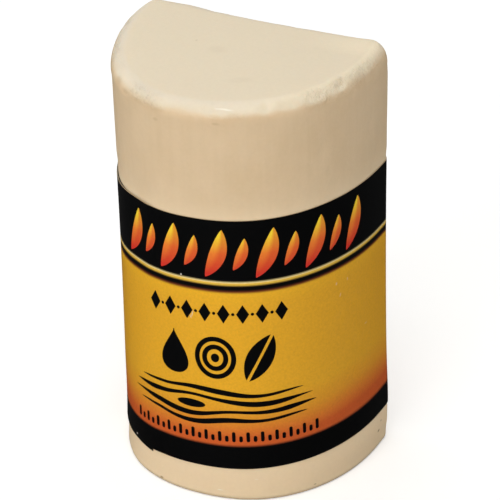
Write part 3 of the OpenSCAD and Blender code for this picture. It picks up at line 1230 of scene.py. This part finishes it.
# Where the painted highlight on the crest grows lighter, from left to right, and the heights of the painted
# shade along the foot's edge
CREST_HIGHLIGHT_RUN = (4 * MM, 9.5 * MM)
FOOT_SHADE_RUN = (0.45 * MM, 0.1 * MM)
# Shares of the streaks and of the mottling in the blend from cream to tan, and the blend's range
STREAK_SHARE = 0.3
MOTTLE_SHARE = 0.9
BLEND_RUN = (0.42, 0.78)
# How ragged the mottling makes the edge of the painted sheen on the open top, and where the painted sheen
# begins and is full
TOP_RAGGED = 0.5
PAINTED_SHEEN_RUN = (0.55, 1.0)
# Range of the noise over which the rim is worn in patches and the crumbs are hollow
PATCH_RUN = (0.4, 0.65)
HOLLOW_RUN = (0.5, 0.3)
# Share of the painted shade along the foot's edge, and of the darker tone in the rim's hollows and in the
# pits
FOOT_SHADE = 0.6
HOLLOW_DARKENING = 0.2
PIT_DARKENING = 0.22
# Stretch of the upright streaks
STREAKS = (1400.0, 1400.0, 90.0)
# Relief of the pits, the crumbs and the grain
PIT_RELIEF = -0.8
CRUMB_RELIEF = 12.0
GRAIN_RELIEF = 0.5
# How much rougher the mottling and how much smoother a painted glint or a scratch makes the wax
MOTTLE_ROUGH = 0.16
GLINT_AND_SCRATCH_ROUGH = -0.2


def worn_rim(nodes, place, facing):
    """Mask and relief of crumbly wear on the roll of the rim."""
    patches = nodes.noise(place, scale=260.0, detail=1.0)
    crumbs = nodes.noise(place, scale=2700.0, detail=3.0, roughness=0.7)
    worn = nodes.times(nodes.window(facing, ROLL_RISE, ROLL_FALL), nodes.remap(patches, *PATCH_RUN))
    return nodes.times(worn, nodes.remap(crumbs, *HOLLOW_RUN)), nodes.times(worn, crumbs)


def wax_material(settings):
    """Satin cast wax: slow mottling, faint upright streaks, fine grain and darker pits, with painted sheen,
    highlights, glints and shade.
    """
    look = settings.look
    material, nodes, shader = new_material("cast wax")
    place = nodes.surface()
    facing = nodes.parts(nodes.surface("Normal"))["Z"]
    mottle = nodes.noise(place, scale=160.0, detail=3.0, roughness=0.55)
    tall = nodes.add("ShaderNodeMapping", {"Vector": place, "Scale": STREAKS}).outputs[0]
    streaks = nodes.noise(tall, scale=1.0, detail=2.0)
    blend = nodes.math("MULTIPLY_ADD", streaks, STREAK_SHARE, nodes.times(mottle, MOTTLE_SHARE))
    body = nodes.mix(nodes.remap(blend, *BLEND_RUN), look.cream, look.tan)
    # Painted highlight above the label and painted bounce light at the foot
    body = nodes.mix(painted_light_share(nodes, place, settings), body, look.pale)
    # Painted sheen on the top, by how much it faces up
    ragged = nodes.math("MULTIPLY_ADD", mottle, TOP_RAGGED, facing)
    body = nodes.mix(nodes.remap(ragged, *PAINTED_SHEEN_RUN), body, look.painted_sheen)
    # Painted highlight along the crest of the rim, lighter towards the right
    crest = nodes.mix(nodes.remap(nodes.parts(place)["X"], *CREST_HIGHLIGHT_RUN), look.crest, look.rubbed)
    body = nodes.mix(nodes.window(facing, CREST_RISE, CREST_FALL), body, crest)
    hollows, crumbs = worn_rim(nodes, place, facing)
    # Painted shade along the foot's edge, real smudges, and darker crumb hollows
    dirt_and_shade = (
        nodes.remap(nodes.parts(place)["Z"], *FOOT_SHADE_RUN, high=FOOT_SHADE),
        marks_mask(nodes, place, SMUDGES, MM),
        nodes.times(hollows, HOLLOW_DARKENING),
    )
    for share in dirt_and_shade:
        body = nodes.mix(share, body, look.smudge_and_shade)
    # Painted glints on the crest and pale scratches by the foot
    glints_and_scratches = marks_mask(nodes, place, GLINTS_AND_SCRATCHES, MM)
    grain = nodes.grain(nodes.mix(glints_and_scratches, body, look.glint_and_scratch), size=0.35 * MM, amount=0.06)
    pits = nodes.specks(spacing=2.4 * MM, radius=0.26 * MM, share=0.3)
    rough = nodes.math("MULTIPLY_ADD", mottle, MOTTLE_ROUGH, look.roughness - MOTTLE_ROUGH / 2)
    relief = nodes.math("MULTIPLY_ADD", pits, PIT_RELIEF, nodes.times(grain["Height"], GRAIN_RELIEF))
    relief = nodes.math("MULTIPLY_ADD", crumbs, CRUMB_RELIEF, relief)
    inputs = {
        "Base Color": nodes.mix(nodes.times(pits, PIT_DARKENING), grain["Color"], look.smudge_and_shade),
        "Roughness": nodes.math("MULTIPLY_ADD", glints_and_scratches, GLINT_AND_SCRATCH_ROUGH, rough),
        "Normal": nodes.bump(relief, strength=0.5, distance=0.05 * MM),
        "Subsurface Weight": look.glow,
        "Subsurface Radius": (1.0, 0.72, 0.5),
        "Subsurface Scale": look.depth,
        "IOR": 1.44,
        "Specular IOR Level": 0.4,
    }
    nodes.fill(shader, inputs)
    return material


# The even gloss that all print on the film has
GLOSS = {"Roughness": 0.33, "Specular IOR Level": 0.38}
# Size of the grain in the print
PRINT_GRAIN = 0.22 * MM


def from_least_shade(nodes, along, settings):
    """Distance along the strip from the place where the painted side shade is least, in strip heights."""
    strip = Strip(settings)
    middle = (strip.start_arc + strip.turn - settings.places.least_shade_at) / settings.label.height
    return nodes.math("ABSOLUTE", nodes.math("SUBTRACT", along, middle))


def painted_side_shade(nodes, off, settings):
    """Painted shade that darkens the field towards both sides: 1 - share * (1 - exp(-(d / reach)^2))."""
    places = settings.places
    near = nodes.math("DIVIDE", off, places.painted_shade_reach / settings.label.height)
    fading = nodes.math("EXPONENT", nodes.times(nodes.times(near, near), -1.0))
    return nodes.grey(nodes.math("MULTIPLY_ADD", fading, places.painted_shade_share, 1 - places.painted_shade_share))


def glow_height(nodes, height, off, settings):
    """Height at which the print's colour is read.

    At a height a above the lower band it is lowered by a * share * exp(-a / tall) towards both sides.
    """
    places = settings.places
    tall = settings.label.height
    side = nodes.remap(off, places.glow_from / tall, places.glow_full / tall, kind="SMOOTHSTEP")
    above = nodes.math("MAXIMUM", nodes.math("SUBTRACT", height, places.low_band / tall), 0.0)
    hold = nodes.math("EXPONENT", nodes.math("DIVIDE", above, -places.glow_tall / tall))
    lowered = nodes.times(nodes.times(above, hold), side)
    return nodes.math("MULTIPLY_ADD", lowered, -places.glow_share, height)


def print_stops(places, inks):
    """Heights and colours of the print, from the lower band to the upper one."""
    fade = places.fade
    field = places.stripe - places.low_band
    pin = places.high_band - places.pin_line
    return [
        (places.low_band - fade, inks.black),
        (places.low_band + fade, inks.red),
        (places.low_band + 0.05 * field, inks.red),
        (places.low_band + 0.1 * field, inks.orange),
        (places.low_band + 0.2 * field, inks.amber),
        (places.low_band + 0.33 * field, inks.yellow),
        (places.low_band + 0.9 * field, inks.yellow),
        (places.stripe - 2.4 * fade, inks.bright),
        (places.stripe - 0.8 * fade, inks.rust),
        (places.stripe + fade, inks.black),
        (places.pin_line - 0.4 * fade, inks.black),
        (places.pin_line + 0.4 * fade, inks.gold),
        (places.pin_line + 0.6 * pin, inks.gold),
        (places.pin_line + 0.75 * pin, inks.cream),
        (places.high_band - 0.3 * fade, inks.cream),
        (places.high_band + 0.4 * fade, inks.black),
    ]


# Marks on the front of the film: arc and height, half sizes, turn in degrees, and strength, in mm
DUST = (
    ((14.0, 0.4), (0.16, 0.1), 30, 0.8),
    ((21.1, 20.5), (0.12, 0.14), 0, 0.9),
    ((22.15, 16.5), (0.08, 0.5), 14, 0.55),
    ((21.95, 16.2), (0.07, 0.3), -25, 0.5),
    ((36.8, 17.7), (0.14, 0.22), 10, 0.3),
    ((38.3, 17.6), (0.12, 0.25), -10, 0.3),
    ((37.3, 16.3), (0.1, 0.3), 20, 0.3),
    ((41.2, 11.4), (0.3, 0.12), 0, 0.25),
)


def dust_marks(settings):
    """The dust marks' places in the strip's map, where l runs against the arc."""
    strip = Strip(settings)
    whole = (strip.start_arc + strip.turn) / MM
    marks = []
    for (arc, height), (wide, tall), turn, strength in DUST:
        marks.append(((whole - arc, height, 0), (wide, tall, 1), turn, strength))
    return marks


# Share of the dust's colour in a speck, and relief of a mark
SPECK_SHARE = 0.25
MARK_RELIEF = 1.5


def film_material(settings):
    """The film's print: black bands, a pale pin line over a dark stripe, and a field from red to yellow, with
    painted shade towards both sides.
    """
    inks = settings.inks
    tall = settings.label.height
    material, nodes, shader = new_material("printed film")
    strip_map = nodes.strip_map()
    parts = nodes.parts(strip_map)
    off = from_least_shade(nodes, parts["X"], settings)
    height = glow_height(nodes, parts["Y"], off, settings)
    printed = nodes.ramp(height, [(place / tall, rgb) for place, rgb in print_stops(settings.places, inks)])
    # Painted shade: the field is darkened towards both sides
    printed = nodes.mix(1.0, printed, painted_side_shade(nodes, off, settings), "MULTIPLY")
    grain = nodes.grain(printed, size=PRINT_GRAIN, amount=0.3)
    dust = nodes.times(nodes.specks(spacing=4 * MM, radius=0.16 * MM, share=0.2), SPECK_SHARE)
    marks = marks_mask(nodes, strip_map, dust_marks(settings), MM / tall)
    waves = nodes.noise(nodes.surface(), scale=420.0, detail=2.0)
    relief = nodes.math("MULTIPLY_ADD", marks, MARK_RELIEF, waves)
    inputs = {
        "Base Color": nodes.mix(nodes.math("MAXIMUM", dust, marks), grain["Color"], inks.dust),
        "Normal": nodes.bump(relief, strength=0.15, distance=0.05 * MM),
    }
    nodes.fill(shader, {**inputs, **GLOSS})
    return material


def core_material(settings):
    """The pale core of the film, which shows at its cut edges, dark with ink along the strip's start."""
    inks = settings.inks
    tall = settings.label.height
    material, nodes, shader = new_material("film core")
    parts = nodes.parts(nodes.strip_map())
    first = nodes.math("LESS_THAN", parts["X"], settings.label.lap / tall)
    banded = nodes.math("GREATER_THAN", parts["Y"], settings.places.high_band / tall)
    cut = nodes.mix(nodes.times(first, banded), inks.core, inks.black)
    grain = nodes.grain(cut, size=0.3 * MM, amount=0.1)
    nodes.fill(shader, {"Base Color": grain["Color"], "Roughness": 0.6})
    return material


def coat_material(inks):
    """The tacky coat, slightly clouded."""
    material, nodes, shader = new_material("adhesive coat")
    grain = nodes.grain(inks.glue, size=0.8 * MM, amount=0.2)
    nodes.fill(shader, {"Base Color": grain["Color"], "Roughness": 0.35})
    return material


def ink_material(settings):
    """Black printing ink with the film's grain."""
    found = bpy.data.materials.get("black ink")
    if found:
        return found
    material, nodes, shader = new_material("black ink")
    grain = nodes.grain(settings.inks.black, size=PRINT_GRAIN, amount=0.4)
    nodes.fill(shader, {"Base Color": grain["Color"], **GLOSS})
    return material


# Heights in a leaf of its foot's, middle's and tip's colours
LEAF_STOPS = (0.08, 0.5, 0.86)
# How much redder a leaf's dark side is, and where across the leaf it turns into the lit side
LEAF_SHADE = 0.55
LEAF_TURN = (0.62, 0.3)


def leaf_material(settings):
    """Leaves from yellow tips to red feet, lit along one side and shaded along the other like a bevel."""
    inks = settings.inks
    material, nodes, shader = new_material("leaf ink")
    parts = nodes.parts(nodes.strip_map())
    stops = list(zip(LEAF_STOPS, (inks.leaf_foot, inks.leaf_middle, inks.leaf_top)))
    body = nodes.ramp(parts["Y"], stops)
    dark = nodes.mix(LEAF_SHADE, body, inks.leaf_foot)
    shaded = nodes.mix(nodes.remap(parts["X"], *LEAF_TURN), dark, body)
    grain = nodes.grain(shaded, size=PRINT_GRAIN, amount=0.14)
    nodes.fill(shader, {"Base Color": grain["Color"], **GLOSS})
    return material


# The stage

# Lamps: name, azimuth and elevation in degrees, and size. The powers are in the settings, by name
LAMPS = (
    ("low", -10, 20, 0.22),
    ("high", 25, 55, 0.22),
    ("top", 10, 85, 0.4),
    ("left", -90, 30, 0.22),
    ("back", 206, 31, 0.5),
    ("right", 148, 15, 0.22),
)
LAMP_DISTANCE = 0.5
LAMP_AIM = Vector((0, 0, 0.02))
# The floor's colour in mirror rays, its own light as the camera sees it, and half its width
DIM_FLOOR = (0.03, 0.03, 0.03)
FLOOR_LIGHT = 0.3
FLOOR_REACH = 3.0


def floor_material(studio):
    """A pale floor. Mirror rays see it dark, as the front of a glossy label in a dim room does."""
    material, nodes, shader = new_material("pale floor")
    nodes.tree.nodes.remove(shader)
    rays = nodes.add("ShaderNodeLightPath").outputs
    pale = nodes.add("ShaderNodeBsdfDiffuse", {"Color": studio.floor}).outputs[0]
    dim = nodes.add("ShaderNodeBsdfDiffuse", {"Color": DIM_FLOOR}).outputs[0]
    seen = nodes.add("ShaderNodeMixShader", {0: rays["Is Glossy Ray"], 1: pale, 2: dim}).outputs[0]
    strength = nodes.times(rays["Is Camera Ray"], FLOOR_LIGHT)
    light = nodes.add("ShaderNodeEmission", {"Strength": strength}).outputs[0]
    both = nodes.add("ShaderNodeAddShader", {0: seen, 1: light}).outputs[0]
    nodes.fill(nodes.tree.nodes["Material Output"], {"Surface": both})
    return material


def add_lamp(name, azimuth, elevation, size, power):
    """A square area lamp that faces the stick, from an azimuth and an elevation in degrees."""
    azimuth = math.radians(azimuth)
    elevation = math.radians(elevation)
    away = Vector((math.sin(azimuth), -math.cos(azimuth), 0)) * math.cos(elevation)
    away.z = math.sin(elevation)
    light = bpy.data.lights.new(name, "AREA")
    light.shape = "SQUARE"
    light.size = size
    light.energy = power
    lamp = bpy.data.objects.new(name, light)
    lamp.location = away * LAMP_DISTANCE + LAMP_AIM
    lamp.rotation_mode = "QUATERNION"
    lamp.rotation_quaternion = away.to_track_quat("Z", "Y")
    bpy.context.scene.collection.objects.link(lamp)


def add_camera(studio):
    """The camera at the photograph's viewing angle, turned by the roll about its own line of sight."""
    right = Vector((math.cos(studio.azimuth), math.sin(studio.azimuth), 0))
    level = Vector((-math.sin(studio.azimuth), math.cos(studio.azimuth), 0))
    forward = level * math.cos(studio.elevation) - Vector((0, 0, math.sin(studio.elevation)))
    up = right.cross(forward)
    target = right * studio.aim_right + Vector((0, 0, studio.aim_up))
    turned_right = right * math.cos(studio.roll) - up * math.sin(studio.roll)
    turned_up = right * math.sin(studio.roll) + up * math.cos(studio.roll)
    data = bpy.data.cameras.new("Camera")
    data.lens = studio.focal
    data.sensor_width = 36.0
    data.clip_start = 0.01
    data.clip_end = 10.0
    camera = bpy.data.objects.new("Camera", data)
    axes = Matrix((turned_right, turned_up, -forward)).transposed()
    camera.matrix_world = Matrix.Translation(target - forward * studio.distance) @ axes.to_4x4()
    bpy.context.scene.collection.objects.link(camera)
    bpy.context.scene.camera = camera


def make_stage(settings):
    """Floor, lamps, room light and camera."""
    studio = settings.studio
    scene = bpy.context.scene
    corners = [(x * FLOOR_REACH, y * FLOOR_REACH, 0) for x, y in ((-1, -1), (1, -1), (1, 1), (-1, 1))]
    mesh = bpy.data.meshes.new("floor")
    mesh.from_pydata(corners, [], [(0, 1, 2, 3)])
    mesh.materials.append(floor_material(studio))
    floor = bpy.data.objects.new("floor", mesh)
    scene.collection.objects.link(floor)
    for name, azimuth, elevation, size in LAMPS:
        add_lamp(name + " lamp", azimuth, elevation, size, getattr(studio, name))
    world = bpy.data.worlds.new("room")
    world.use_nodes = True
    nodes = Nodes(world.node_tree)
    seen = nodes.add("ShaderNodeLightPath").outputs["Is Camera Ray"]
    strength = nodes.math("MULTIPLY_ADD", seen, studio.backdrop - studio.room, studio.room)
    nodes.fill(nodes.tree.nodes["Background"], {"Color": (1.0, 1.0, 1.0), "Strength": strength})
    scene.world = world
    scene.view_settings.view_transform = "Standard"
    add_camera(studio)


# Operators and panel

class WAXSTICK_OT_wax(Operator):
    """Casts the block of wax"""

    bl_idname = "waxstick.wax"
    bl_label = "Cast wax"

    def execute(self, context):
        make_wax(context.scene.wax_stick)
        return {"FINISHED"}


class WAXSTICK_OT_coat(Operator):
    """Lays the adhesive coat round the wax"""

    bl_idname = "waxstick.coat"
    bl_label = "Adhesive coat"

    def execute(self, context):
        make_coat(context.scene.wax_stick)
        return {"FINISHED"}


class WAXSTICK_OT_film(Operator):
    """Wraps the printed film round the stick"""

    bl_idname = "waxstick.film"
    bl_label = "Printed film"

    def execute(self, context):
        make_film(context.scene.wax_stick)
        return {"FINISHED"}


class WAXSTICK_OT_leaves(Operator):
    """Prints the row of leaves on the upper band"""

    bl_idname = "waxstick.leaves"
    bl_label = "Leaf row"

    def execute(self, context):
        make_leaves(context.scene.wax_stick)
        return {"FINISHED"}


class WAXSTICK_OT_motifs(Operator):
    """Prints the black motifs on the field"""

    bl_idname = "waxstick.motifs"
    bl_label = "Black motifs"

    def execute(self, context):
        settings = context.scene.wax_stick
        make_beads(settings)
        make_signs(settings)
        make_grain(settings)
        make_ticks(settings)
        return {"FINISHED"}


class WAXSTICK_OT_stage(Operator):
    """Sets up the floor, the lamps and the camera"""

    bl_idname = "waxstick.stage"
    bl_label = "Stage"

    def execute(self, context):
        make_stage(context.scene.wax_stick)
        return {"FINISHED"}


class WAXSTICK_PT_panel(Panel):
    """Lists the pieces and what can be set"""

    bl_idname = "WAXSTICK_PT_panel"
    bl_label = "Wax stick"
    bl_space_type = "VIEW_3D"
    bl_region_type = "UI"
    bl_category = "Wax stick"

    def draw(self, context):
        settings = context.scene.wax_stick
        for operator in OPERATORS:
            self.layout.operator(operator.bl_idname)
        for part in WaxStickSettings.__annotations__:
            group = getattr(settings, part)
            box = self.layout.box()
            for name in group.__annotations__:
                box.prop(group, name)


GROUPS = (WaxShape, LabelShape, PrintPlaces, Inks, WaxLook, Studio, WaxStickSettings)
OPERATORS = (
    WAXSTICK_OT_stage,
    WAXSTICK_OT_wax,
    WAXSTICK_OT_coat,
    WAXSTICK_OT_film,
    WAXSTICK_OT_leaves,
    WAXSTICK_OT_motifs,
)


def register():
    """Registers the classes and the settings."""
    for cls in (*GROUPS, *OPERATORS, WAXSTICK_PT_panel):
        bpy.utils.register_class(cls)
    bpy.types.Scene.wax_stick = PointerProperty(type=WaxStickSettings)


def unregister():
    """Takes the settings and the classes away again."""
    del bpy.types.Scene.wax_stick
    for cls in reversed((*GROUPS, *OPERATORS, WAXSTICK_PT_panel)):
        bpy.utils.unregister_class(cls)


def main():
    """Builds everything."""
    register()
    bpy.ops.waxstick.stage()
    bpy.ops.waxstick.wax()
    bpy.ops.waxstick.coat()
    bpy.ops.waxstick.film()
    bpy.ops.waxstick.leaves()
    bpy.ops.waxstick.motifs()


if __name__ == "__main__":
    main()
